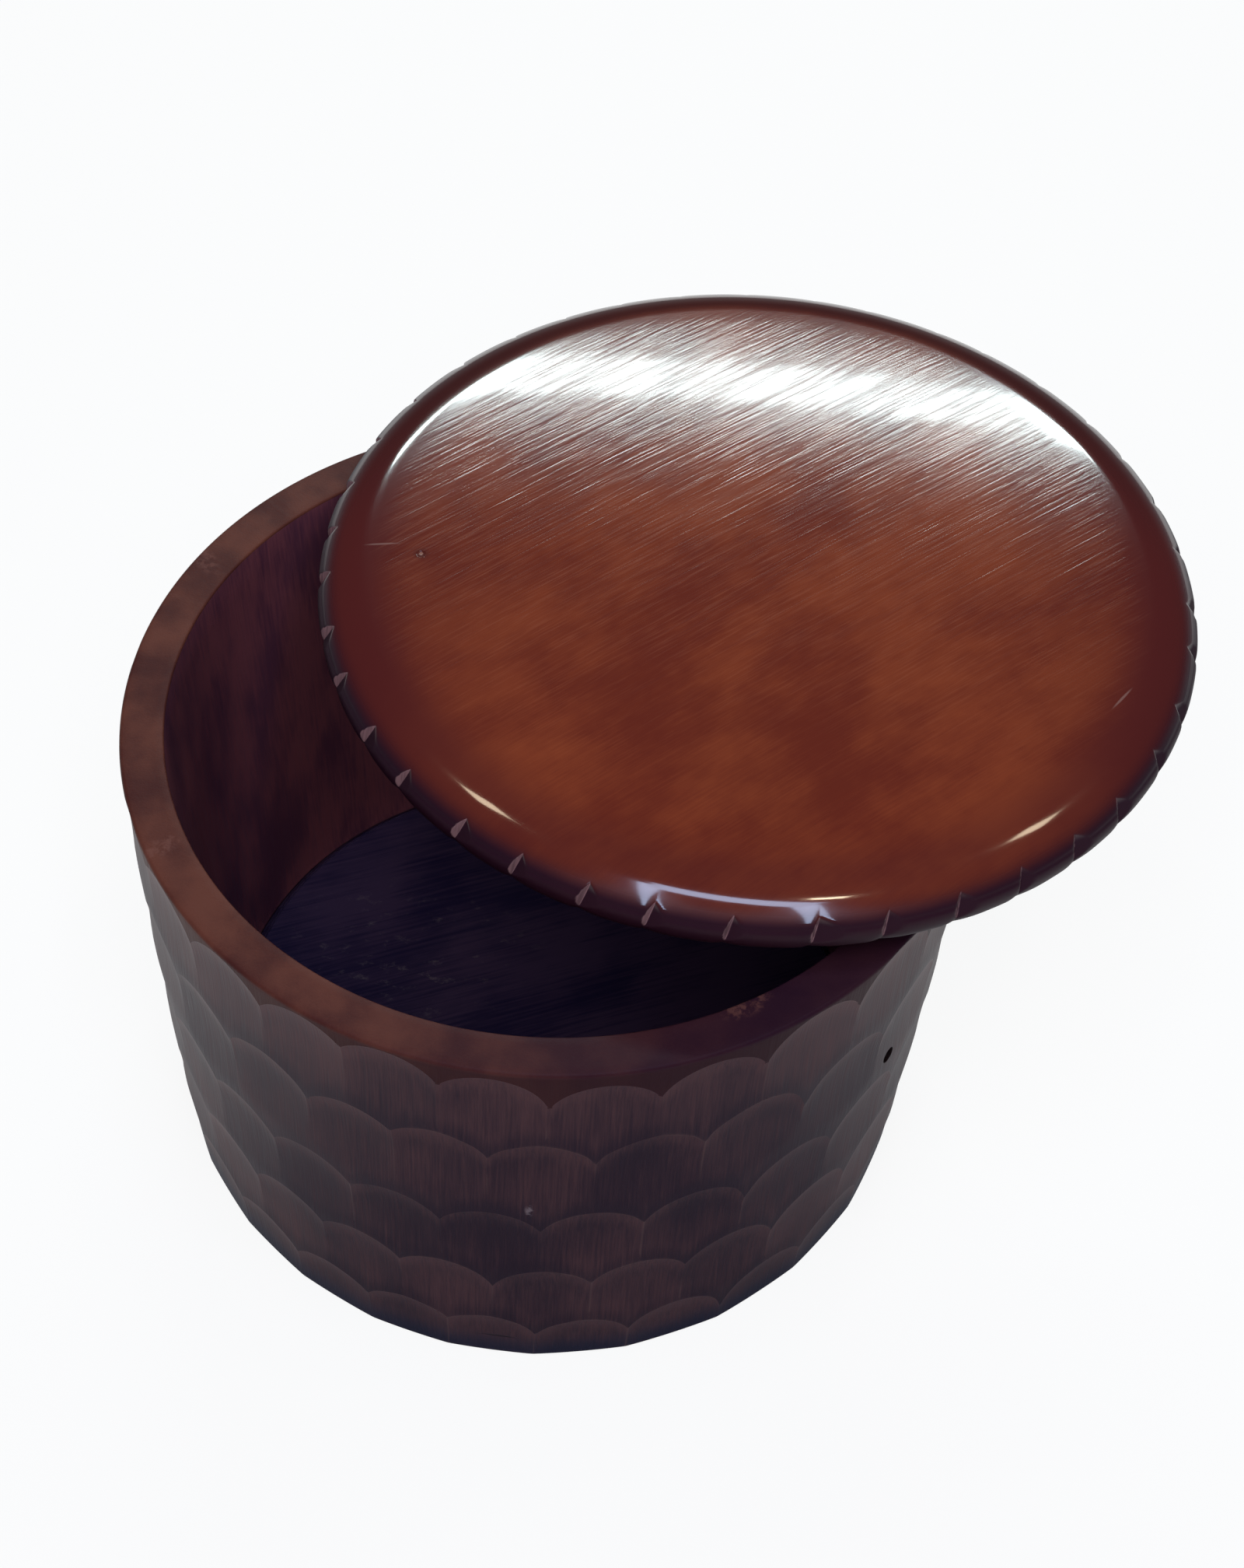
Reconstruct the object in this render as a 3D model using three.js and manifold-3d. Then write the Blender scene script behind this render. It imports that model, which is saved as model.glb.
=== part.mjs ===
// Lidded storage jar in turned and carved wood.
// The jar wall is turned, then cut all over with rows of shallow gouge strokes. A separate base
// board is let in from below. The lid is a domed panel with a nicked edge, and a plug under it
// that drops into the bore. The lid is drawn lifted out and set down askew on the rim.
// Units are millimetres, +Z is up, and the origin is the centre of the foot.

import * as THREE from 'three';
import { mergeVertices } from 'three/addons/utils/BufferGeometryUtils.js';
import Module from 'manifold-3d';

const wasm = await Module();
wasm.setup();

// Jar wall
const RIM_HEIGHT = 119.5;
const RIM_RADIUS = 90;
const FOOT_RADIUS = 84.9;
const BELLY = 0.6;
const RIM_EASING = 0.9;
const FOOT_CHAMFER = 0.8;
const MOUTH_RADIUS = 80.8;
const FLOOR_BORE_RADIUS = 74.3;
const MOUTH_CHAMFER = 0.5;

// Base board, stepped so that it seats in a rebate under the wall
const BOARD_RADIUS = 78;
const BOARD_FLANGE = 5;
const BOARD_THICKNESS = 9;
const BOARD_STEP_RADIUS = 73.7;
const BOARD_BEVEL = 1.5;
const JOINT_GAP = 0.3;

// Gouge strokes, in rows from the rim to the foot; a row's height is that of its arch tops
const STROKES_PER_ROW = 26;
const ROW_TOPS = [119.4, 94.6, 66.4, 41.6, 18.6];
const FIRST_RIDGE_ANGLE = THREE.MathUtils.degToRad(-103);
const STROKE_DEPTH = 1.1;
const STROKE_ENTRY = 5;
const STROKE_FADE = 1.1;
const STROKE_LENGTH = 26;
const STROKE_SIDE_RISE = 0.5;
const ARCH_DROP = 3;
const CORNER_DROP = 0.9;
const FRONT_ANGLE = THREE.MathUtils.degToRad(-85);
const FRONT_LOWERING = 3;
const STROKE_SWAY = THREE.MathUtils.degToRad(4.6);
const STROKE_TURN_VARIATION = THREE.MathUtils.degToRad(0.8);
const STROKE_HEIGHT_VARIATION = 0.9;

// Knot hole in the wall, in the second row of strokes
const KNOT_ANGLE = THREE.MathUtils.degToRad(-34.2);
const KNOT_HEIGHT = 71.5;
const KNOT_WIDTH = 4.4;
const KNOT_TALL = 5;
const KNOT_DEPTH = 6;
const KNOT_TILT = THREE.MathUtils.degToRad(33);

// Lid panel and the plug under it
const LID_RADIUS = 93.2;
const LID_THICKNESS = 14;
const LID_EDGE_HEIGHT = 5.5;
const LID_FLAT_RADIUS = 82;
const LID_DOME = 2;
const LID_SEAT_RADIUS = 88.2;
const PLUG_RADIUS = 79.8;
const PLUG_DEPTH = 6;
const PLUG_CHAMFER = 1.2;

// Nicks filed round the lid's edge
const NICK_COUNT = 39;
const FIRST_NICK_ANGLE = THREE.MathUtils.degToRad(-94.7);
const NICK_DEPTH = 1.1;
const NICK_STEEP_WIDTH = 1;
const NICK_SLOPE_WIDTH = 2.8;
const NICK_SLANT = 0.25;
const NICK_TILT = 0.41;
const NICK_TURN_VARIATION = THREE.MathUtils.degToRad(0.9);

// Where the lid lies on the jar, off the jar's axis
const LID_OFFSET_X = 42.3;
const LID_OFFSET_Y = 27.9;

const STROKE_PITCH = (2 * Math.PI) / STROKES_PER_ROW;
const WALL_COLUMNS = STROKES_PER_ROW * 4;
const ROUND_STEPS = 80;
const LEAST_STEP = 0.2;

// Hand work is never quite even: a fixed value from -1 to 1 for each stroke or nick
function handVariation(index, salt) {
  const wave = Math.sin(index * 12.9898 + salt * 78.233) * 43758.5453;
  return 2 * (wave - Math.floor(wave)) - 1;
}

function pointOnTurn(angle, radius, height) {
  return new THREE.Vector3(radius * Math.cos(angle), radius * Math.sin(angle), height);
}

// Radius of the turned blank before it is carved, with a slight belly between foot and rim
function blankRadius(height) {
  const share = height / RIM_HEIGHT;
  return THREE.MathUtils.lerp(FOOT_RADIUS, RIM_RADIUS, share) + 4 * BELLY * share * (1 - share);
}

// The top row was cut lower at the front, where the rim shows a wider uncut band
function frontLowering(angle) {
  return FRONT_LOWERING * Math.max(0, Math.cos(angle - FRONT_ANGLE)) ** 6;
}

// How far a stroke's arch has dropped from its top, at a place across the stroke
function archDrop(across) {
  return ARCH_DROP * across ** 2 + CORNER_DROP * across ** 8;
}

// The three strokes of a row nearest to an angle: the height of each one's arch top, and how far
// across the stroke the angle is, where 1 is the ridge that it shares with its neighbour
function strokesNear(row, angle) {
  const rowStart = FIRST_RIDGE_ANGLE + STROKE_PITCH * (row % 2 === 0 ? 0.5 : 0);
  const nearest = Math.round((angle - rowStart) / STROKE_PITCH);
  return [nearest - 1, nearest, nearest + 1].map((place) => {
    const index = ((place % STROKES_PER_ROW) + STROKES_PER_ROW) % STROKES_PER_ROW;
    const turn = STROKE_TURN_VARIATION * handVariation(index, row + 1);
    const rise = STROKE_HEIGHT_VARIATION * handVariation(index, row + 11);
    const even = rowStart + place * STROKE_PITCH;
    const centre = even + turn + STROKE_SWAY * Math.sin(even - FRONT_ANGLE) ** 2;
    const across = (2 * (angle - centre)) / STROKE_PITCH;
    return { top: ROW_TOPS[row] + rise - (row === 0 ? frontLowering(centre) : 0), across };
  });
}

// How deep one stroke has cut at a height; negative above the stroke. It goes in steeply under
// its arched top, and fades out slowly towards the foot.
function strokeDepth({ top, across }, height) {
  const below = top - archDrop(across) - height;
  if (below < 0) {
    return below;
  }
  const cut = STROKE_DEPTH * (1 - Math.exp(-below / STROKE_ENTRY));
  const fade = STROKE_FADE * (below / STROKE_LENGTH) ** 2;
  return cut - fade - STROKE_SIDE_RISE * across ** 2;
}

function carvedDepth(angle, height) {
  const strokes = ROW_TOPS.flatMap((top, row) => strokesNear(row, angle));
  return Math.max(0, ...strokes.map((stroke) => strokeDepth(stroke, height)));
}

// The height at which a row's strokes meet the row above
function archHeight(row, angle) {
  return Math.max(...strokesNear(row, angle).map(({ top, across }) => top - archDrop(across)));
}

// Turn a closed or axis-to-axis profile of [radius, height] points about +Z
function turned(profile, steps) {
  const points = profile.map(([radius, height]) => new THREE.Vector2(radius, height));
  const geometry = new THREE.LatheGeometry(points, steps);
  return geometry.rotateX(Math.PI / 2);
}

function welded(geometry) {
  const bare = geometry.clone();
  bare.deleteAttribute('normal');
  bare.deleteAttribute('uv');
  return mergeVertices(bare, 1e-4);
}

function toSolid(geometry) {
  const mesh = welded(geometry);
  const vertProperties = new Float32Array(mesh.attributes.position.array);
  const triVerts = new Uint32Array(mesh.index.array);
  return new wasm.Manifold(new wasm.Mesh({ numProp: 3, vertProperties, triVerts }));
}

function toGeometry(solid) {
  const { vertProperties, triVerts } = solid.getMesh();
  const geometry = new THREE.BufferGeometry();
  geometry.setAttribute('position', new THREE.BufferAttribute(vertProperties, 3));
  geometry.setIndex(new THREE.BufferAttribute(triVerts, 1));
  return geometry;
}

// A level of the wall gives, for an angle, the [radius, height] that its ring of points has there
function turnedLevel(radius, height) {
  return () => [radius, height];
}

function carvedLevel(heightAt) {
  return (angle) => {
    const height = Math.min(heightAt(angle), RIM_HEIGHT - RIM_EASING - LEAST_STEP);
    return [blankRadius(height) - carvedDepth(angle, height), height];
  };
}

function rimEdgeLevel(inset, height) {
  return (angle) => [RIM_RADIUS - Math.max(inset, carvedDepth(angle, height)), height];
}

// Rings of points up the carved outside, close together under each row of arches
function carvedLevels() {
  const footLine = () => FOOT_CHAMFER;
  const levels = [carvedLevel(footLine)];
  for (let row = ROW_TOPS.length - 1; row >= 0; row -= 1) {
    const lowerLine = row + 1 < ROW_TOPS.length ? (angle) => archHeight(row + 1, angle) : footLine;
    for (const share of [0.35, 0.65, 0.88, 1]) {
      const height = (angle) => THREE.MathUtils.lerp(lowerLine(angle), archHeight(row, angle), share);
      levels.push(carvedLevel(height));
    }
  }
  return levels;
}

// Jar wall: up the carved outside, over the rim, down the tapered bore and round the rebate
function jarWallGeometry() {
  const rebateRadius = BOARD_RADIUS + JOINT_GAP;
  const rebateTop = BOARD_FLANGE + JOINT_GAP;
  const lowerBore = BOARD_STEP_RADIUS + JOINT_GAP;
  const levels = [
    ...carvedLevels(),
    rimEdgeLevel(0, RIM_HEIGHT - RIM_EASING),
    rimEdgeLevel(0.3 * RIM_EASING, RIM_HEIGHT - 0.3 * RIM_EASING),
    rimEdgeLevel(RIM_EASING, RIM_HEIGHT),
    turnedLevel(MOUTH_RADIUS + MOUTH_CHAMFER, RIM_HEIGHT),
    turnedLevel(MOUTH_RADIUS, RIM_HEIGHT - MOUTH_CHAMFER),
    turnedLevel(FLOOR_BORE_RADIUS, BOARD_THICKNESS),
    turnedLevel(lowerBore, BOARD_THICKNESS - BOARD_BEVEL),
    turnedLevel(lowerBore, rebateTop),
    turnedLevel(rebateRadius, rebateTop),
    turnedLevel(rebateRadius, 0),
    turnedLevel(FOOT_RADIUS - FOOT_CHAMFER - STROKE_DEPTH, 0),
  ];
  levels.push(levels[0]);
  const geometry = turned(levels.map((level) => level(0)), WALL_COLUMNS);
  const position = geometry.attributes.position;
  for (let column = 0; column <= WALL_COLUMNS; column += 1) {
    const angle = FIRST_RIDGE_ANGLE + (column % WALL_COLUMNS) * (STROKE_PITCH / 4);
    levels.forEach((level, place) => {
      const point = pointOnTurn(angle, ...level(angle));
      position.setXYZ(column * levels.length + place, point.x, point.y, point.z);
    });
  }
  return toGeometry(toSolid(geometry).subtract(knotHole()));
}

// A slightly tapered oval hole, square to the wall and closed at its inner end
function knotHole() {
  const hole = new THREE.CylinderGeometry(1, 0.7, 2 * KNOT_DEPTH, 12);
  hole.scale(KNOT_WIDTH / 2, 1, KNOT_TALL / 2);
  hole.rotateY(KNOT_TILT);
  hole.rotateZ(KNOT_ANGLE - Math.PI / 2);
  const middle = pointOnTurn(KNOT_ANGLE, blankRadius(KNOT_HEIGHT) - STROKE_DEPTH, KNOT_HEIGHT);
  return toSolid(hole.translate(middle.x, middle.y, middle.z));
}

// Base board: a flange that fills the rebate, and a raised middle with a bevelled edge
function baseBoardGeometry() {
  return turned([
    [0, 0],
    [BOARD_RADIUS, 0],
    [BOARD_RADIUS, BOARD_FLANGE],
    [BOARD_STEP_RADIUS, BOARD_FLANGE],
    [BOARD_STEP_RADIUS, BOARD_THICKNESS - BOARD_BEVEL],
    [BOARD_STEP_RADIUS - BOARD_BEVEL, BOARD_THICKNESS],
    [0, BOARD_THICKNESS],
  ], ROUND_STEPS);
}

// Profile of the lid panel, from the underside's centre round the edge to the top's centre
function lidProfile() {
  const profile = [[0, 0], [LID_SEAT_RADIUS, 0]];
  const below = 3;
  for (let step = 1; step <= below; step += 1) {
    const turn = (step / below) * (Math.PI / 2);
    const radius = LID_SEAT_RADIUS + (LID_RADIUS - LID_SEAT_RADIUS) * Math.sin(turn);
    profile.push([radius, LID_EDGE_HEIGHT * (1 - Math.cos(turn))]);
  }
  const above = 6;
  const shoulderRise = LID_THICKNESS - LID_DOME - LID_EDGE_HEIGHT;
  for (let step = 1; step <= above; step += 1) {
    const turn = (step / above) * (Math.PI / 2);
    const radius = LID_FLAT_RADIUS + (LID_RADIUS - LID_FLAT_RADIUS) * Math.cos(turn);
    profile.push([radius, LID_EDGE_HEIGHT + shoulderRise * Math.sin(turn)]);
  }
  for (const share of [0.66, 0.33, 0]) {
    profile.push([LID_FLAT_RADIUS * share, LID_THICKNESS - LID_DOME * share ** 2]);
  }
  return profile;
}

// One nick: a slanting V with a steep and a sloping flank, which runs out above and below where
// the edge bends away from it
function nickWedge(angle) {
  const outline = new THREE.Shape();
  outline.moveTo(-NICK_DEPTH, 0);
  outline.lineTo(NICK_DEPTH, -2 * NICK_STEEP_WIDTH);
  outline.lineTo(NICK_DEPTH, 2 * NICK_SLOPE_WIDTH);
  outline.closePath();
  const over = 1;
  const wedge = new THREE.ExtrudeGeometry(outline, { depth: LID_THICKNESS + 2 * over, bevelEnabled: false });
  wedge.translate(0, 0, -over);
  const position = wedge.attributes.position;
  for (let i = 0; i < position.count; i += 1) {
    const above = position.getZ(i) - LID_EDGE_HEIGHT;
    position.setX(i, position.getX(i) - NICK_TILT * above);
    position.setY(i, position.getY(i) + NICK_SLANT * above);
  }
  wedge.rotateZ(angle);
  const place = pointOnTurn(angle, LID_RADIUS, 0);
  return toSolid(wedge.translate(place.x, place.y, 0));
}

function lidPanelGeometry() {
  let lid = toSolid(turned(lidProfile(), ROUND_STEPS));
  const pitch = (2 * Math.PI) / NICK_COUNT;
  for (let nick = 0; nick < NICK_COUNT; nick += 1) {
    const turn = NICK_TURN_VARIATION * handVariation(nick, 31);
    lid = lid.subtract(nickWedge(FIRST_NICK_ANGLE + nick * pitch + turn));
  }
  return toGeometry(lid);
}

function lidPlugGeometry() {
  const top = PLUG_DEPTH - JOINT_GAP;
  return turned([
    [0, 0],
    [PLUG_RADIUS - PLUG_CHAMFER, 0],
    [PLUG_RADIUS, PLUG_CHAMFER],
    [PLUG_RADIUS, top],
    [0, top],
  ], ROUND_STEPS);
}

const carvedWood = new THREE.MeshStandardMaterial({ color: 0x4b2c24, roughness: 0.45, metalness: 0 });
const floorWood = new THREE.MeshStandardMaterial({ color: 0x2a1a1c, roughness: 0.55, metalness: 0 });
const lidWood = new THREE.MeshStandardMaterial({ color: 0x74321a, roughness: 0.3, metalness: 0 });
const plugWood = new THREE.MeshStandardMaterial({ color: 0x5a3020, roughness: 0.55, metalness: 0 });

function piece(name, geometry, material) {
  const mesh = new THREE.Mesh(geometry, material);
  mesh.name = name;
  return mesh;
}

const jar = new THREE.Group();
jar.add(piece('jar_wall', jarWallGeometry(), carvedWood));
jar.add(piece('base_board', baseBoardGeometry(), floorWood));

const lid = new THREE.Group();
const panel = piece('lid_panel', lidPanelGeometry(), lidWood);
panel.position.z = PLUG_DEPTH;
lid.add(panel);
lid.add(piece('lid_plug', lidPlugGeometry(), plugWood));
lid.position.set(LID_OFFSET_X, LID_OFFSET_Y, RIM_HEIGHT + JOINT_GAP);

const storageJar = new THREE.Group();
storageJar.add(jar, lid);

export default storageJar;
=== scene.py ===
# %% [markdown]
# # A carved storage jar with its lid set askew
# The jar is a turned wooden pot whose outside was cut all over with shallow gouge strokes. A dark
# base board closes it from below. Its lid lies askew on the rim: a domed, polished board with
# small nicks round the edge, and a plug underneath. This lesson builds each of the four pieces
# from a turned profile, then gives each its own procedural wood.

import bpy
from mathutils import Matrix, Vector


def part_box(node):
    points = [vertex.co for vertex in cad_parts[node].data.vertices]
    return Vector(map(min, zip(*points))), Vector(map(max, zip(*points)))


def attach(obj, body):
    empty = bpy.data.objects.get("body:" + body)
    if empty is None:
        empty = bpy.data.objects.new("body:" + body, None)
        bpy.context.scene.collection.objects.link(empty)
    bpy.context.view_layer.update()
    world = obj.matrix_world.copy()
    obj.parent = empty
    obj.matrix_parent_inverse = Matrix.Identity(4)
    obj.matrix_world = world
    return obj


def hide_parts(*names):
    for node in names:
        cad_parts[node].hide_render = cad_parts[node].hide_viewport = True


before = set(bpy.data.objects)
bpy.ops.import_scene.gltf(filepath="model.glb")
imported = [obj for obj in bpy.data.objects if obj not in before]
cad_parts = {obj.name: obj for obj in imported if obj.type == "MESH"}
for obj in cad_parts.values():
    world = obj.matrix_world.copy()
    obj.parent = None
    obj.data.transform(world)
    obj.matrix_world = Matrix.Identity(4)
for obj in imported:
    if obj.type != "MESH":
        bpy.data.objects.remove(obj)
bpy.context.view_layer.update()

# %% Libraries
import math

import bmesh
import bpy
import numpy as np
from mathutils import Matrix, Vector

# %% [markdown]
# ## The camera
# The camera comes first, because it decides how much detail will show. Its place was worked out
# from the ellipses of the rim, the mouth and the lid, and it is kept here in rim radii: about
# four radii in front of the jar and six above the floor, looking down at some fifty degrees.

# %% Camera
MM = 0.001
RIM_RADIUS = 90 * MM
CAMERA_PLACE = Vector((0, -4.16, 6.0857)) * RIM_RADIUS
CAMERA_DOWN = 0.876
CAMERA_RIGHT = 0.0401
CAMERA_ROLL = 0.0672
FOCAL_PIXELS = 3500
FRAME_HEIGHT_PIXELS = 2016

camera = bpy.data.objects.new("camera", bpy.data.cameras.new("camera"))
camera.data.sensor_width = 36
camera.data.lens = camera.data.sensor_width * FOCAL_PIXELS / FRAME_HEIGHT_PIXELS
camera.data.clip_start = 0.01
aim = Matrix.Rotation(-CAMERA_RIGHT, 4, "Z") @ Matrix.Rotation(math.pi / 2 - CAMERA_DOWN, 4, "X")
camera.matrix_world = Matrix.Translation(CAMERA_PLACE) @ aim @ Matrix.Rotation(CAMERA_ROLL, 4, "Z")
bpy.context.scene.collection.objects.link(camera)
bpy.context.scene.camera = camera
print("camera lens", round(camera.data.lens, 1), "mm")

# %% [markdown]
# ## Sizes
# Every size is a real one, in metres, and repeats the driving dimensions of the construction.
# The places of the rim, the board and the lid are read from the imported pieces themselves, so the
# looks can't drift away from what they dress. Turned pieces stay a hair inside their solids.

# %% Sizes of the jar
SAFE_INSET = 0.02 * MM
RIM_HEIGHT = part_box("jar_wall")[1].z
FOOT_RADIUS = 84.9 * MM
BELLY = 0.6 * MM
RIM_EASING = 0.9 * MM
FOOT_CHAMFER = 0.8 * MM
MOUTH_RADIUS = 80.8 * MM
MOUTH_CHAMFER = 0.5 * MM
FLOOR_BORE_RADIUS = 74.3 * MM
BOARD_RADIUS = 78 * MM
BOARD_FLANGE = 5 * MM
BOARD_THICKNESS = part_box("base_board")[1].z
BOARD_STEP_RADIUS = 73.7 * MM
BOARD_BEVEL = 1.5 * MM
JOINT_GAP = 0.3 * MM

# %% Sizes of the lid
lid_low, lid_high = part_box("lid_panel")
plug_low, plug_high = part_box("lid_plug")
LID_CENTRE = Vector(((lid_low.x + lid_high.x) / 2, (lid_low.y + lid_high.y) / 2, lid_low.z))
LID_RADIUS = 93.2 * MM - SAFE_INSET
LID_THICKNESS = lid_high.z - lid_low.z
LID_EDGE_HEIGHT = 5.5 * MM
LID_FLAT_RADIUS = 82 * MM
LID_DOME = 2 * MM
LID_SEAT_RADIUS = 88.2 * MM
PLUG_RADIUS = 79.8 * MM
PLUG_THICKNESS = plug_high.z - plug_low.z
PLUG_CHAMFER = 1.2 * MM
print("rim height", round(RIM_HEIGHT, 4), "lid centre", [round(v, 4) for v in LID_CENTRE])

# %% [markdown]
# ## Turning a profile
# All four pieces were made on a lathe, so they all start as a profile that is spun about an
# upright axis. What repeats round the piece, a stroke or a nick, makes a sector: the profile is
# spun through one sector, and the sector is then copied round, which is far quicker than one long
# spin. Merging the doubled points closes the seams between sectors and the poles on the axis.


# %% Turned pieces
def new_piece(name, shape, place=(0, 0, 0)):
    """Make an object from a bmesh, put its place in its mesh, and shade it smooth."""
    bmesh.ops.translate(shape, verts=shape.verts, vec=place)
    mesh = bpy.data.meshes.new(name)
    shape.to_mesh(mesh)
    shape.free()
    mesh.shade_smooth()
    piece = bpy.data.objects.new(name, mesh)
    bpy.context.scene.collection.objects.link(piece)
    return piece


def spin_profile(points, sectors, sector_steps, closed=False, start=0.0):
    """Turn (radius, height) points about +Z in equal sectors, from a start angle."""
    shape = bmesh.new()
    turn = Matrix.Rotation(start, 3, "Z")
    corners = [shape.verts.new(turn @ Vector((radius, 0, height))) for radius, height in points]
    edges = [shape.edges.new(pair) for pair in zip(corners, corners[1:])]
    if closed:
        edges.append(shape.edges.new((corners[-1], corners[0])))
    sector = math.tau / sectors
    up = (0, 0, 1)
    bmesh.ops.spin(shape, geom=corners + edges, axis=up, angle=sector, steps=sector_steps)
    whole = shape.verts[:] + shape.edges[:] + shape.faces[:]
    others = sectors - 1
    bmesh.ops.spin(shape, geom=whole, axis=up, angle=sector * others, steps=others, use_duplicate=True)
    bmesh.ops.remove_doubles(shape, verts=shape.verts, dist=0.001 * MM)
    bmesh.ops.recalc_face_normals(shape, faces=shape.faces)
    return shape


def stretch(first, last, count):
    """Evenly spaced points on a straight stretch of profile, without its first point."""
    return [tuple(np.array(first) + (np.array(last) - first) * i / count) for i in range(1, count + 1)]


def arc(centre, across, up, start, end, count):
    """Points along part of an ellipse, without the first; 0 degrees is outwards and 90 is up."""
    angles = np.radians(np.linspace(start, end, count + 1))[1:]
    return [(centre[0] + across * math.cos(a), centre[1] + up * math.sin(a)) for a in angles]


def read_rows(collection, name, kind=float, width=1):
    """Read one property of every point, corner or face into a numpy array."""
    values = np.empty(len(collection) * width, dtype=kind)
    collection.foreach_get(name, values)
    return values.reshape(-1, width) if width > 1 else values


def polar(places):
    """Radius, angle and height of places round the upright axis."""
    return np.hypot(places[:, 0], places[:, 1]), np.arctan2(places[:, 1], places[:, 0]), places[:, 2]


def move_points(piece, radius, angle, height, centre=(0, 0, 0)):
    """Put the piece's points at new cylindrical places round an upright axis."""
    places = np.stack([radius * np.cos(angle), radius * np.sin(angle), height], axis=1)
    piece.data.vertices.foreach_set("co", (places + np.array(centre)).ravel())
    piece.data.update()


# %% [markdown]
# ## The gouge strokes
# Each stroke was pushed from the rim towards the foot. The gouge bites in steeply, so the stroke
# has an arched top, and then rises out slowly. Its sides rise towards the neighbours, where two
# strokes meet in a ridge. Cutting wood away one stroke at a time leaves, at every point, the
# deepest cut that passed there. So the wall is the blank less the greatest of all the cuts.
# Booleans with 130 cutters would do the same, slowly; a formula on a fine grid is exact and fast.

# %% Stroke sizes
def mm(*sizes):
    """Sizes in millimetres, as metres."""
    return tuple(size * MM for size in sizes)


STROKES_PER_ROW = 26
ROW_TOPS = mm(119.4, 94.6, 66.4, 41.6, 18.6)
ROWS = len(ROW_TOPS)
FIRST_RIDGE_ANGLE = math.radians(-103)
STROKE_PITCH = math.tau / STROKES_PER_ROW
STROKE_DEPTH = 1.1 * MM
STROKE_ENTRY = 5 * MM
STROKE_FADE = 1.1 * MM
STROKE_LENGTH = 26 * MM
STROKE_SIDE_RISE = 0.5 * MM
ARCH_DROP = 3 * MM
CORNER_DROP = 0.9 * MM
FRONT_ANGLE = math.radians(-85)
FRONT_LOWERING = 3 * MM
STROKE_SWAY = math.radians(4.6)
STROKE_TURN_VARIATION = math.radians(0.8)
STROKE_TURN_SALT = 1
STROKE_HEIGHT_VARIATION = 0.9 * MM
STROKE_HEIGHT_SALT = 11
SCRAMBLE = (12.9898, 78.233, 43758.5453)


# %% One stroke
def hand_variation(index, salt):
    """A fixed value from -1 to 1 for each stroke or nick: hand work is never quite even."""
    wave = np.sin(index * SCRAMBLE[0] + salt * SCRAMBLE[1]) * SCRAMBLE[2]
    return 2 * (wave - np.floor(wave)) - 1


def row_start(row):
    """Angle of a row's first stroke; neighbouring rows are half a stroke apart."""
    return FIRST_RIDGE_ANGLE + (STROKE_PITCH / 2 if row % 2 == 0 else 0)


def stroke_shift(row, place):
    """How far a stroke strays from its even place round the jar."""
    even = row_start(row) + place * STROKE_PITCH
    turn = hand_variation(place % STROKES_PER_ROW, row + STROKE_TURN_SALT)
    return STROKE_TURN_VARIATION * turn + STROKE_SWAY * np.sin(even - FRONT_ANGLE) ** 2


def stroke_depth(top, across, height):
    """Depth of one stroke at a height; negative above the stroke."""
    below = top - ARCH_DROP * across**2 - CORNER_DROP * across**8 - height
    cut = STROKE_DEPTH * (1 - np.exp(-np.maximum(below, 0) / STROKE_ENTRY))
    fade = STROKE_FADE * (below / STROKE_LENGTH) ** 2
    return np.where(below < 0, below, cut - fade - STROKE_SIDE_RISE * across**2)


def strokes_near(row, angle):
    """Arch tops of a row's three nearest strokes, and the place across each, from -1 to 1."""
    place = np.round((angle - row_start(row)) / STROKE_PITCH) + np.array([[-1], [0], [1]])
    centre = row_start(row) + place * STROKE_PITCH + stroke_shift(row, place)
    rise = hand_variation(place % STROKES_PER_ROW, row + STROKE_HEIGHT_SALT)
    tops = ROW_TOPS[row] + STROKE_HEIGHT_VARIATION * rise
    if row == 0:
        tops = tops - FRONT_LOWERING * np.maximum(np.cos(centre - FRONT_ANGLE), 0) ** 6
    return tops, 2 * (angle - centre) / STROKE_PITCH


def deepest(strokes, height):
    """Depth of the deepest of some strokes."""
    return stroke_depth(*strokes, height).max(axis=0)


def blank_radius(height):
    """Radius of the turned blank before carving, with a slight belly."""
    share = height / RIM_HEIGHT
    straight = FOOT_RADIUS + (RIM_RADIUS - SAFE_INSET - FOOT_RADIUS) * share
    return straight + 4 * BELLY * share * (1 - share)


print("strokes", STROKES_PER_ROW * ROWS, "each", round(STROKE_PITCH * RIM_RADIUS / MM, 1), "mm wide")

# %% [markdown]
# ## Where the strokes meet
# Two kinds of sharp line cross the carved wall: the arches, where a row meets the row above, and
# the upright ridges between neighbours. A grid shows them crisply only if its points lie on them.
# So the arches' heights are found by halving an interval, and the ridges lie midway between two
# stroke centres.

# %% Arches and ridges
ARCH_SEARCH_BELOW = 14 * MM
ARCH_SEARCH_ABOVE = 4 * MM
ARCH_SEARCH_STEPS = 16
RIM_EDGE_START = RIM_HEIGHT - RIM_EASING
LEAST_BAND = 0.3 * MM


def arch_height(row, angle):
    """Height at which a row's strokes meet the row above, or the uncut rim."""
    low = np.full_like(angle, ROW_TOPS[row] - ARCH_SEARCH_BELOW)
    high = np.full_like(angle, ROW_TOPS[row] + ARCH_SEARCH_ABOVE)
    strokes = strokes_near(row, angle)
    strokes_above = strokes_near(row - 1, angle)
    for _ in range(ARCH_SEARCH_STEPS):
        middle = (low + high) / 2
        above = np.maximum(deepest(strokes_above, middle), 0) if row else 0
        inside = deepest(strokes, middle) > above
        low = np.where(inside, middle, low)
        high = np.where(inside, high, middle)
    return low


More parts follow.
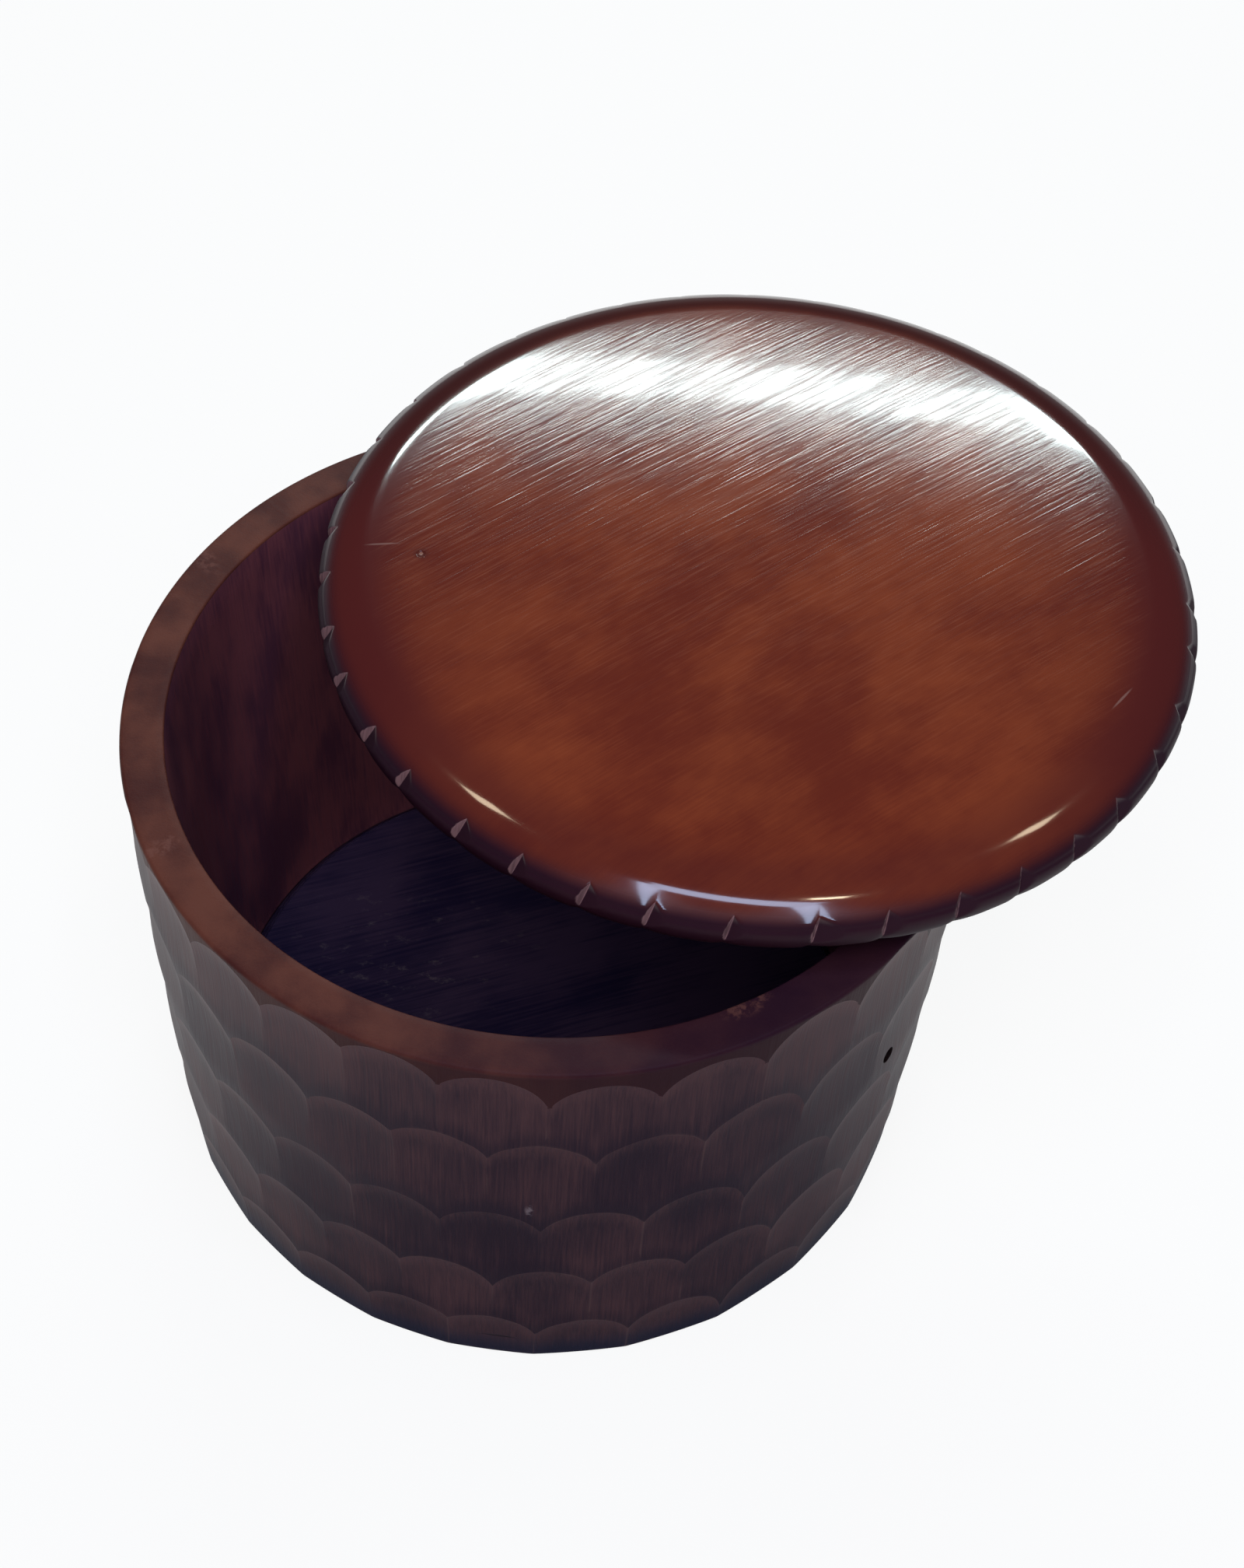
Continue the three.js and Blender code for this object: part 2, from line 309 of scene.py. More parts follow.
def level_lines(angle):
    """Heights of the foot's edge, of each row's arches from below, and of the rim's edge."""
    lines = [np.full_like(angle, FOOT_CHAMFER)]
    lines += [arch_height(row, angle) for row in reversed(range(ROWS))]
    lines[-1] = np.minimum(lines[-1], RIM_EDGE_START - LEAST_BAND)
    return np.array(lines + [np.full_like(angle, RIM_EDGE_START)])


def ridge_shift(row, angle):
    """How far the ridges near an angle stray; each lies midway between two strokes."""
    places = np.arange(STROKES_PER_ROW)
    even = row_start(row) + (places + 0.5) * STROKE_PITCH
    shift = stroke_shift(row, places)
    return np.interp(angle, even, (shift + np.roll(shift, -1)) / 2, period=math.tau)


# %% [markdown]
# ## The jar wall
# The profile goes up the outside, over the rim, down the tapered bore and round the rebate for
# the base board. It is spun while the outside is still a plain cylinder, with twenty levels for
# each row of strokes. Then every point slides along to its arch or ridge, and is pushed in by
# the depth of the cut there. The levels crowd together just under the arches, where the gouge
# went in and the surface bends most.

# %% Jar wall profile
LEVELS_PER_ROW = 20
BAND_LEVELS = 4
COLUMNS_PER_STROKE = 24
OUTSIDE_LEVELS = LEVELS_PER_ROW * ROWS + BAND_LEVELS
RIM_STEPS = 5
ROUNDING_STEPS = 3
BORE_STEPS = 14
CYLINDER_RADIUS = RIM_RADIUS + 5 * MM

lower_bore = BOARD_STEP_RADIUS + JOINT_GAP
rebate_radius = BOARD_RADIUS + JOINT_GAP
rebate_top = BOARD_FLANGE + JOINT_GAP
mouth_edge = (MOUTH_RADIUS + MOUTH_CHAMFER, RIM_HEIGHT)
foot_edge = (CYLINDER_RADIUS, FOOT_CHAMFER)
edge_centre = (CYLINDER_RADIUS - RIM_EASING, RIM_EDGE_START)
mouth_centre = (mouth_edge[0], RIM_HEIGHT - MOUTH_CHAMFER)

wall_profile = [foot_edge]
wall_profile += stretch(foot_edge, (CYLINDER_RADIUS, RIM_EDGE_START), OUTSIDE_LEVELS)
wall_profile += arc(edge_centre, RIM_EASING, RIM_EASING, 0, 90, RIM_STEPS)
wall_profile += stretch((RIM_RADIUS - RIM_EASING, RIM_HEIGHT), mouth_edge, RIM_STEPS)
wall_profile += arc(mouth_centre, MOUTH_CHAMFER, MOUTH_CHAMFER, 90, 180, ROUNDING_STEPS)
wall_profile += stretch(wall_profile[-1], (FLOOR_BORE_RADIUS, BOARD_THICKNESS), BORE_STEPS)
wall_profile += [
    (lower_bore, BOARD_THICKNESS - BOARD_BEVEL),
    (lower_bore, rebate_top),
    (rebate_radius, rebate_top),
    (rebate_radius, 0),
    (FOOT_RADIUS - FOOT_CHAMFER - STROKE_DEPTH, 0),
]
print("wall profile points", len(wall_profile))

# %% Carve the wall
BLEND_LEVELS = 3
CROWDING = 1.5


def row_of(part):
    """The row of strokes that a stretch shows; the uncut band counts with the top row."""
    return np.clip(ROWS - 1 - part, 0, ROWS - 1)


def slide_to_strokes(level, angle):
    """New angle and height for outside points, from the level that each is on."""
    part = np.clip(level // LEVELS_PER_ROW, 0, ROWS)
    step = level - part * LEVELS_PER_ROW
    own_row = row_of(part)
    lower_row = row_of(part - 1)
    shifts = np.array([ridge_shift(row, angle) for row in range(ROWS)])
    column = np.arange(len(angle))
    own_share = np.clip(step / BLEND_LEVELS, 0, 1)
    angle = angle + own_share * shifts[own_row, column] + (1 - own_share) * shifts[lower_row, column]
    in_rows = 1 - (1 - np.clip(step / LEVELS_PER_ROW, 0, 1)) ** CROWDING
    share = np.where(part == ROWS, np.clip(step / BAND_LEVELS, 0, 1), in_rows)
    lines = level_lines(angle)
    return angle, lines[part, column] * (1 - share) + lines[part + 1, column] * share


def carve_wall(wall):
    """Slide the outside points onto the strokes, then push them in by the depth of the cuts."""
    radius, angle, height = polar(read_rows(wall.data.vertices, "co", width=3))
    outside = radius > RIM_RADIUS + MM
    inset = CYLINDER_RADIUS - radius[outside]
    level_height = (RIM_EDGE_START - FOOT_CHAMFER) / OUTSIDE_LEVELS
    level = np.round((height[outside] - FOOT_CHAMFER) / level_height).astype(int)
    on_edge = inset > SAFE_INSET
    new_angle, new_height = slide_to_strokes(np.minimum(level, OUTSIDE_LEVELS), angle[outside])
    new_height = np.where(on_edge, height[outside], new_height)
    depths = [deepest(strokes_near(row, new_angle), new_height) for row in range(ROWS)]
    depth = np.max(depths, axis=0)
    angle[outside] = new_angle
    height[outside] = new_height
    radius[outside] = blank_radius(new_height) - np.maximum(depth, inset)
    move_points(wall, radius, angle, height)


turned_wall = spin_profile(wall_profile, STROKES_PER_ROW, COLUMNS_PER_STROKE, True, FIRST_RIDGE_ANGLE)
jar_wall = new_piece("carved_jar_wall", turned_wall)
carve_wall(jar_wall)
print("wall faces", len(jar_wall.data.polygons))

# %% [markdown]
# ## The knot hole
# A small loose knot fell out of the wall and left a dark oval hole. It is cut with a tapered
# cylinder: the Boolean modifier takes it out, and the result is written back to the mesh, so that
# nothing stays live.

# %% Knot hole
KNOT_ANGLE = math.radians(-34.2)
KNOT_HEIGHT = 71.5 * MM
KNOT_WIDTH = 4.4 * MM
KNOT_TALL = 5 * MM
KNOT_DEPTH = 6 * MM
KNOT_TILT = math.radians(33)
KNOT_INNER_SHARE = 0.7
KNOT_SIDES = 40


def knot_cutter():
    """A tapered oval that reaches through the surface of the wall and stops inside it."""
    shape = bmesh.new()
    bmesh.ops.create_cone(
        shape, cap_ends=True, segments=KNOT_SIDES, radius1=KNOT_INNER_SHARE, radius2=1, depth=2 * KNOT_DEPTH
    )
    bmesh.ops.scale(shape, verts=shape.verts, vec=(KNOT_TALL / 2, KNOT_WIDTH / 2, 1))
    turn = Matrix.Rotation(KNOT_ANGLE, 3, "Z") @ Matrix.Rotation(math.pi / 2, 3, "Y")
    bmesh.ops.rotate(shape, verts=shape.verts, matrix=turn @ Matrix.Rotation(KNOT_TILT, 3, "Z"))
    middle = blank_radius(KNOT_HEIGHT) - STROKE_DEPTH
    place = (middle * math.cos(KNOT_ANGLE), middle * math.sin(KNOT_ANGLE), KNOT_HEIGHT)
    return new_piece("knot_cutter", shape, place)


def cut_away(piece, cutter):
    """Take the cutter out of the piece for good."""
    cut = piece.modifiers.new("cut", "BOOLEAN")
    cut.operation = "DIFFERENCE"
    cut.solver = "EXACT"
    cut.object = cutter
    ready = piece.evaluated_get(bpy.context.evaluated_depsgraph_get())
    carved = bpy.data.meshes.new_from_object(ready)
    piece.modifiers.remove(cut)
    piece.data = carved
    bpy.data.objects.remove(cutter)


cut_away(jar_wall, knot_cutter())
print("wall faces with the knot hole", len(jar_wall.data.polygons))

# %% [markdown]
# ## Stroke map and stroke tones
# The finish needs to know where each stroke is: tool marks run down from its arch, each stroke
# takes the stain a little differently, each is painted lighter under its arch and darker at its
# lower end as light and shade, and the ridges are rubbed lighter, which also stands for a painted
# highlight. So the wall carries a UV map laid out stroke by stroke, the distances to the nearest
# arch and ridge, and a tone for each stroke. The distances are exact between the points, because
# points lie on the lines.

# %% Stroke map
STROKE_MAP = "stroke_map"
TONE_SALT = 57
STROKE_WIDTH = STROKE_PITCH * RIM_RADIUS


def write_attribute(mesh, name, domain, values):
    """Store one number for each point or face."""
    mesh.attributes.new(name, "FLOAT", domain).data.foreach_set("value", values.astype(np.float32))


def stroke_turns(angle):
    """For each row, an angle counted in strokes from the middle of the row's first stroke."""
    rows = range(ROWS)
    return np.array([(angle - ridge_shift(row, angle) - row_start(row)) / STROKE_PITCH for row in rows])


def part_at(lines, height):
    """Which stretch between two lines a height is in, counted from the foot."""
    return np.clip((height > lines[1:-1]).sum(axis=0), 0, ROWS)


def map_strokes(mesh):
    """Give the wall its distances, its tones and its stroke map."""
    points = read_rows(mesh.vertices, "co", width=3)
    centres = read_rows(mesh.polygons, "center", width=3)
    angle, height = polar(points)[1:]
    face_angle, face_height = polar(centres)[1:]
    column = np.arange(len(points))
    lines = level_lines(angle)
    turns = stroke_turns(angle)
    part = part_at(lines, height)
    across = turns[row_of(part), column]
    to_line = np.minimum(lines[part + 1, column] - height, height - lines[part, column])
    write_attribute(mesh, "from_arch", "POINT", np.maximum(to_line, 0))
    write_attribute(mesh, "from_ridge", "POINT", (0.5 - np.abs(across - np.round(across))) * STROKE_WIDTH)
    face_part = part_at(level_lines(face_angle), face_height)
    face_row = row_of(face_part)
    face_place = np.round(stroke_turns(face_angle)[face_row, np.arange(len(centres))])
    stroke = face_place % STROKES_PER_ROW + STROKES_PER_ROW * face_part
    write_attribute(mesh, "stroke_tone", "FACE", hand_variation(stroke, TONE_SALT))
    write_attribute(mesh, "uncut", "FACE", (face_part == ROWS).astype(float))
    corner_face = np.repeat(np.arange(len(centres)), read_rows(mesh.polygons, "loop_total", int))
    corner_point = read_rows(mesh.loops, "vertex_index", int)
    from_middle = turns[face_row[corner_face], corner_point] - face_place[corner_face]
    from_middle -= STROKES_PER_ROW * np.round(from_middle / STROKES_PER_ROW)
    below_arch = lines[face_part[corner_face] + 1, corner_point] - height[corner_point]
    stroke_map = np.stack([from_middle * STROKE_WIDTH, below_arch], axis=1)
    mesh.uv_layers.new(name=STROKE_MAP).data.foreach_set("uv", stroke_map.astype(np.float32).ravel())


map_strokes(jar_wall.data)
print("stroke map corners", len(jar_wall.data.loops))

# %% [markdown]
# ## Sharp where the tool left it sharp
# Smooth shading rounds every edge that isn't marked sharp. On the carved outside even a bend of
# eight degrees is a real crease between two cuts, while the turned edges bend more than that and
# are still round. So the angle that counts as sharp depends on where the edge is.

# %% Sharp edges
CREASE = math.radians(8)
CORNER = math.radians(40)


def sharpen(piece, top_of_creases=0.0):
    """Mark corners sharp, and below a height also the shallow creases between cuts."""
    shape = bmesh.new()
    shape.from_mesh(piece.data)
    for edge in shape.edges:
        creased = min(point.co.z for point in edge.verts) < top_of_creases
        edge.smooth = edge.calc_face_angle(0) < (CREASE if creased else CORNER)
    shape.to_mesh(piece.data)
    shape.free()


sharpen(jar_wall, RIM_EDGE_START - SAFE_INSET)
print("sharp edges", sum(edge.use_edge_sharp for edge in jar_wall.data.edges))

# %% [markdown]
# ## The base board
# The floor of the jar is a separate board, let in from below. Its wide flange fills the rebate,
# and its raised middle stands up inside the bore. The bevel and a fine turned groove beside it
# show as two dark rings where wall and floor meet.

# %% Base board
GROOVE_DEPTH = 0.35 * MM
GROOVE_WIDTH = 0.5 * MM
FOOT_EASING = 0.5 * MM
UNDERSIDE_STEPS = 10
BOARD_TOP_STEPS = 14
ROUND_SECTORS = 12
ROUND_SECTOR_STEPS = 20

bevel_top = BOARD_STEP_RADIUS - BOARD_BEVEL
board_profile = [(0, 0)]
board_profile += stretch((0, 0), (BOARD_RADIUS - FOOT_EASING, 0), UNDERSIDE_STEPS)
easing_centre = (BOARD_RADIUS - FOOT_EASING, FOOT_EASING)
board_profile += arc(easing_centre, FOOT_EASING, FOOT_EASING, -90, 0, ROUNDING_STEPS)
board_profile += [(BOARD_RADIUS, BOARD_FLANGE), (BOARD_STEP_RADIUS, BOARD_FLANGE)]
board_profile += [(BOARD_STEP_RADIUS, BOARD_THICKNESS - BOARD_BEVEL)]
board_profile += stretch(board_profile[-1], (bevel_top, BOARD_THICKNESS), ROUNDING_STEPS)
board_profile += [
    (bevel_top - GROOVE_WIDTH / 2, BOARD_THICKNESS - GROOVE_DEPTH),
    (bevel_top - GROOVE_WIDTH, BOARD_THICKNESS),
]
board_profile += stretch(board_profile[-1], (0, BOARD_THICKNESS), BOARD_TOP_STEPS)
turned_board = spin_profile(board_profile, ROUND_SECTORS, ROUND_SECTOR_STEPS)
base_board = new_piece("turned_base_board", turned_board)
sharpen(base_board)
print("board faces", len(base_board.data.polygons))

# %% [markdown]
# ## The lid panel
# The lid is one thick board, turned to a shallow dome that bends over into a round edge. Its
# underside is flat. The profile is denser at the bend, because the polish there shows thin
# highlights that any corner would break.

# %% Lid profile
NICK_COUNT = 39
COLUMNS_PER_NICK = 24
DOME_RINGS = 16
SHOULDER_RINGS = 40
UNDER_RINGS = 18
SEAT_RINGS = 8


def dome_height(radius):
    """Height of the dome, which goes on falling under the bend of the edge."""
    return LID_THICKNESS - LID_DOME * (radius / LID_FLAT_RADIUS) ** 2


edge_drop = dome_height(LID_RADIUS) - LID_EDGE_HEIGHT


def shoulder():
    """Points from the widest part of the lid, up round the bend to the flat of the dome."""
    for turn in np.linspace(math.pi / 2, 0, SHOULDER_RINGS + 1)[1:]:
        radius = LID_FLAT_RADIUS + (LID_RADIUS - LID_FLAT_RADIUS) * math.sin(turn)
        yield radius, dome_height(radius) - edge_drop * (1 - math.cos(turn))


under_round = (LID_RADIUS - LID_SEAT_RADIUS, LID_EDGE_HEIGHT)
lid_profile = [(0, 0)]
lid_profile += stretch((0, 0), (LID_SEAT_RADIUS, 0), SEAT_RINGS)
lid_profile += arc((LID_SEAT_RADIUS, LID_EDGE_HEIGHT), *under_round, -90, 0, UNDER_RINGS)
lid_profile += list(shoulder())
lid_profile += [(r, dome_height(r)) for r in np.linspace(LID_FLAT_RADIUS, 0, DOME_RINGS + 1)[1:]]
print("lid profile points", len(lid_profile))

# %% [markdown]
# ## The nicks
# Each nick is one slanting knife cut: a steep flank on one side and a longer sloping one on the
# other. The edge between two nicks is eased towards them, so that it looks gently scalloped, and
# a fine turned line runs round it above its widest part. As on the wall, the columns of the grid
# crowd round each nick, and the edge is pushed in to the depth of the cut. The depth of each
# flank is kept for the finish, because the cuts show bare wood.

# %% Nick sizes
FIRST_NICK_ANGLE = math.radians(-94.7)
NICK_PITCH = math.tau / NICK_COUNT
NICK_DEPTH = 1.1 * MM
NICK_STEEP_WIDTH = 1 * MM
NICK_SLOPE_WIDTH = 2.8 * MM
NICK_SLANT = 0.25
NICK_TILT = 0.41
NICK_TURN_VARIATION = math.radians(0.9)
NICK_TURN_SALT = 31
NICK_WIDTH_VARIATION = 0.25
NICK_WIDTH_SALT = 41
FLANKS = ("steep_flank", "sloping_flank")
CHIPPED_NICK = 1
CHIP_WIDENING = 1.7
SCALLOP_DEPTH = 0.6 * MM
SCALLOP_REACH = 6.5 * MM
SCALLOP_STEEP_REACH = 2.5 * MM
SCALLOP_TOP = 10.5 * MM
NICK_CROWDING = 0.65
EDGE_STARTS = 78 * MM
EDGE_LINE_HEIGHT = 7.6 * MM
EDGE_LINE_DEPTH = 0.12 * MM
EDGE_LINE_WIDTH = 0.5 * MM


# %% Cut the nicks
def nick_angles():
    """Angle of each nick round the lid's edge."""
    index = np.arange(NICK_COUNT)
    even = FIRST_NICK_ANGLE + index * NICK_PITCH
    return even + NICK_TURN_VARIATION * hand_variation(index, NICK_TURN_SALT)


def slide_to_nicks(angle):
    """Crowd the columns round the nicks; returns new angles and each one's nick."""
    real = nick_angles()
    gap_after = (np.roll(real, -1) - real) % math.tau / 2
    gap_before = np.roll(gap_after, 1)
    turn = (angle - FIRST_NICK_ANGLE) / NICK_PITCH
    place = np.round(turn)
    aside = 2 * (turn - place)
    nick = place.astype(int) % NICK_COUNT
    crowded = aside * ((1 - NICK_CROWDING) + NICK_CROWDING * aside**2)
    return real[nick] + crowded * np.where(aside > 0, gap_after[nick], gap_before[nick]), nick


def cut_nicks(lid):
    """Slide the columns, push in the scallops and the nicks, and keep how deep each flank is."""
    points = read_rows(lid.data.vertices, "co", width=3) - np.array(LID_CENTRE)
    radius, angle, height = polar(points)
    angle, nick = slide_to_nicks(angle)
    aside = (angle - nick_angles()[nick]) * LID_RADIUS
    at_edge = np.clip((radius - EDGE_STARTS) / (LID_FLAT_RADIUS - EDGE_STARTS), 0, 1)
    angle = angle + at_edge * NICK_SLANT * (height - LID_EDGE_HEIGHT) / LID_RADIUS
    reach = np.where(aside > 0, SCALLOP_REACH, SCALLOP_STEEP_REACH)
    near = np.clip(1 - np.abs(aside) / reach, 0, 1) ** 2 * np.clip(1 - height / SCALLOP_TOP, 0, 1)
    line = np.clip(1 - np.abs(height - EDGE_LINE_HEIGHT) / EDGE_LINE_WIDTH, 0, 1)
    radius = radius - np.floor(at_edge) * (SCALLOP_DEPTH * near + EDGE_LINE_DEPTH * line)
    widening = 1 + NICK_WIDTH_VARIATION * hand_variation(nick, NICK_WIDTH_SALT)
    widening = np.where((nick == CHIPPED_NICK) & (aside > 0), CHIP_WIDENING, widening)
    width = np.where(aside > 0, NICK_SLOPE_WIDTH, NICK_STEEP_WIDTH) * widening
    bottom = LID_RADIUS - NICK_DEPTH - NICK_TILT * (height - LID_EDGE_HEIGHT)
    flank = bottom + NICK_DEPTH * np.abs(aside) / width
    cut = np.where(at_edge > 0, np.maximum(radius - flank, 0), 0)
    for name, beside in zip(FLANKS, (aside < SAFE_INSET, aside > -SAFE_INSET)):
        write_attribute(lid.data, name, "POINT", np.where(beside, cut, 0))
    move_points(lid, radius - cut, angle, height, LID_CENTRE)


turned_lid = spin_profile(lid_profile, NICK_COUNT, COLUMNS_PER_NICK, start=FIRST_NICK_ANGLE)
lid_panel = new_piece("nicked_lid_panel", turned_lid, LID_CENTRE)
cut_nicks(lid_panel)
sharpen(lid_panel)
print("lid faces", len(lid_panel.data.polygons))

# %% [markdown]
# ## The lid plug
# A thinner disc under the lid drops into the mouth and keeps the lid from sliding off. Its lower
# edge is chamfered so that it finds the bore. It was faced on the lathe, which left very shallow
# rings, and these are real steps in the profile here.

# %% Lid plug
PLUG_RINGS = 26
RING_RELIEF = 0.06 * MM

face_radius = PLUG_RADIUS - PLUG_CHAMFER
plug_profile = [(0, 0)]
for ring in range(1, PLUG_RINGS + 1):
    ring_radius = face_radius * ring / PLUG_RINGS
    plug_profile.append((ring_radius, RING_RELIEF if ring % 2 and ring < PLUG_RINGS else 0))
plug_profile += [(PLUG_RADIUS, PLUG_CHAMFER), (PLUG_RADIUS, PLUG_THICKNESS), (0, PLUG_THICKNESS)]
plug_place = (LID_CENTRE.x, LID_CENTRE.y, plug_low.z)
turned_plug = spin_profile(plug_profile, ROUND_SECTORS, ROUND_SECTOR_STEPS)
lid_plug = new_piece("faced_lid_plug", turned_plug, plug_place)
sharpen(lid_plug)
print("plug faces", len(lid_plug.data.polygons))

# %% [markdown]
# ## Tools for the finishes
# A finish is a small graph of nodes. Two classes keep the graphs readable. A Value wraps a socket,
# so that sums and products of values are written as plain arithmetic. A Finish owns a material,
# and makes every other node through one method that takes the node's type, its settings, and the
# values or links of its sockets.


# %% Values
NOISE_MIDDLE = 0.5


class Value:
    """A number or colour that changes over a surface."""

    def __init__(self, finish, socket):
        self.finish = finish
        self.socket = socket

    def maths(self, operation, first, second):
        return self.finish.node("ShaderNodeMath", {"operation": operation}, {0: first, 1: second})

    def __add__(self, other):
        return self.maths("ADD", self, other)

    def __sub__(self, other):
        return self.maths("SUBTRACT", self, other)

    def __rsub__(self, other):
        return self.maths("SUBTRACT", other, self)

    def __mul__(self, other):
        return self.maths("MULTIPLY", self, other)

    def __truediv__(self, other):
        return self.maths("DIVIDE", self, other)

    __radd__ = __add__
    __rmul__ = __mul__

    def sway(self, amount):
        """How far a noise is from its middle, times an amount."""
        return (self - NOISE_MIDDLE) * amount


# %% Finishes
def linear(red, green, blue):
    """A colour as seen on a screen, from 0 to 255, as the linear colour that shaders use."""
    def channel(value):
        share = value / 255
        return share / 12.92 if share <= 0.04045 else ((share + 0.055) / 1.055) ** 2.4
    return channel(red), channel(green), channel(blue), 1.0


class Nodes:
    """A node tree with short ways to add to it."""

    def __init__(self, tree):
        self.tree = tree

    def node(self, kind, settings=(), inputs=(), output=0):
        """Add a node: settings first, then the values or links of its sockets."""
        node = self.tree.nodes.new(kind)
        for name, setting in dict(settings).items():
            setattr(node, name, setting)
        for name, value in dict(inputs).items():
            self.feed(node.inputs[name], value)
        return Value(self, node.outputs[output])

    def feed(self, socket, value):
        """Link a Value to a socket, or set a constant on it."""
        if isinstance(value, Value):
            self.tree.links.new(value.socket, socket)
        else:
            socket.default_value = value

    def mix(self, share, first, second):
        """Blend two colours: share 0 gives the first and 1 the second."""
        return self.node("ShaderNodeMix", {"data_type": "RGBA"}, {0: share, 6: first, 7: second}, 2)

    def layers(self, colour, *coats):
        """Lay coats over a colour in turn; each is given as its share and its own colour."""
        for share, coat in coats:
            colour = self.mix(share, colour, coat)
        return colour

    def ease(self, value, low, high):
        """A smooth step from 0 at low to 1 at high; low may be the greater."""
        limits = {"Value": value, "From Min": low, "From Max": high}
        return self.node("ShaderNodeMapRange", {"interpolation_type": "SMOOTHSTEP"}, limits)

    def fade(self, value, low, high):
        """The same step between two sizes in millimetres."""
        return self.ease(value, low * MM, high * MM)

    def place(self, vector, size=(1, 1, 1), centre=(0, 0, 0), turn=0.0):
        """Coordinates from a centre, turned about +Z, counted in features of the given size."""
        inputs = {"Vector": vector, "Location": centre, "Rotation": (0, 0, turn), "Scale": size}
        return self.node("ShaderNodeMapping", {"vector_type": "TEXTURE"}, inputs)

    def noise(self, vector, detail, roughness=0.5):
        """Cloudy noise between about 0.3 and 0.7, one feature to a unit of the vector."""
        inputs = {"Vector": vector, "Scale": 1.0, "Detail": detail, "Roughness": roughness}
        return self.node("ShaderNodeTexNoise", (), inputs)

    def clouds(self, vector, size, detail=3.0, roughness=0.5, turn=0.0):
        """The same noise in features of the given size, turned about +Z."""
        return self.noise(self.place(vector, size, turn=turn), detail, roughness)

    def length(self, vector):
        """Length of a vector."""
        return self.node("ShaderNodeVectorMath", {"operation": "LENGTH"}, {0: vector}, "Value")

    def axis(self, vector, name):
        """One coordinate of a vector."""
        return self.node("ShaderNodeSeparateXYZ", (), {0: vector}, name)

    def join(self, across, along, depth=0.0):
        """A vector from three values."""
        return self.node("ShaderNodeCombineXYZ", (), {0: across, 1: along, 2: depth})

    def plan(self, vector):
        """The vector seen from above, without its height."""
        return self.join(self.axis(vector, "X"), self.axis(vector, "Y"))

    def attribute(self, name):
        """A number stored on the mesh."""
        return self.node("ShaderNodeAttribute", {"attribute_name": name}, (), "Fac")

    def spot(self, vector, centre, size, turn=0.0):
        """A soft oval patch: 1 in its middle and 0 outside the given half sizes."""
        return self.ease(self.length(self.place(vector, size, centre, turn)), 1.0, 0.4)


class Finish(Nodes):
    """A material with its Principled shader; constants are set straight on the shader."""

    def __init__(self, name, gloss, coat_roughness=0.03):
        self.material = bpy.data.materials.new(name)
        self.material.use_nodes = True
        super().__init__(self.material.node_tree)
        self.shader = self.tree.nodes["Principled BSDF"]
        self.feed(self.shader.inputs["Specular IOR Level"], gloss)
        self.feed(self.shader.inputs["Coat Roughness"], coat_roughness)
        self.here = self.node("ShaderNodeTexCoord", (), (), "Object")

    def straight_grain(self, vector, sizes, stains, grain_share=0.7, turn=0.0):
        """Grain and clouds of two sizes, and a colour between two stains that they make uneven."""
        grain = self.clouds(vector, sizes[0], 3.0, 0.6, turn)
        clouds = self.clouds(vector, sizes[1], turn=turn)
        return grain, self.mix(self.ease(clouds + grain.sway(grain_share), 0.3, 0.7), *stains)

    def surface(self, colour, roughness, relief, polish=0.0):
        """Feed the shader: colour, roughness, relief as a height in metres, and a coat of polish."""
        bump = self.node("ShaderNodeBump", (), {"Height": relief, "Distance": 1.0}, "Normal")
        fed = {"Base Color": colour, "Roughness": roughness, "Coat Weight": polish, "Normal": bump}
        for socket, value in fed.items():
            self.feed(self.shader.inputs[socket], value)
        return self.material


# %% [markdown]
# ## Carved wood
# The outside is a close-grained wood, stained nearly black-brown, under a thin dull coat. The
# stain is thinner on the rim, which hands have warmed to red-brown, and on ridges and arches,
# where it is rubbed through to a lighter line that also stands for a painted highlight. Painted
# light and shade make each stroke lighter under its arch and darker at its lower end, and the
# wall lighter low down and near the rim. Painted shadow darkens the rim on the right, where the
# lid's shadow falls, and painted shade and reflection tint the foot dark blue. Down each stroke
# run the fine marks of the gouge, and through everything the upright grain. One material does
# for both, because the rim grades into the outside.

# %% Carved wood colours and places
OUTSIDE_STAINS = (linear(38, 21, 35), linear(82, 51, 54))
FOOT_PAINTED_SHADE = linear(16, 26, 52)
RUBBED_AND_HIGHLIT = linear(96, 70, 66)
RIM_STAINS = (linear(65, 31, 29), linear(94, 52, 42))
RIM_PAINTED_SHADOW = linear(32, 14, 32)
RIM_UNDER = linear(50, 23, 27)
RIM_WORN = linear(112, 72, 64)
WORN_SPOTS = (
    ((*mm(-77.5, 41.9), RIM_HEIGHT), mm(7, 3, 3), 2.1),
    ((*mm(-77.6, -38.6), RIM_HEIGHT), mm(3, 6, 3), -0.9),
    ((*mm(38.9, -71.5), RIM_HEIGHT), mm(7, 3.5, 3), 0.6),
)
CHIP_COLOUR = linear(128, 112, 118)
CHIP_PLACE = mm(-1.5, -87.3, 68)
CHIP_SIZE = mm(1.3, 3, 2.8)
SLIT_COLOUR = linear(14, 10, 18)
SLIT_PLACE = mm(-7.4, -84.3, 8)
SLIT_SIZE = mm(5, 4, 0.35)
MARK_WIDTH = 0.4 * MM
MARK_LENGTH = 14 * MM
TONE_SPREAD = 40.0


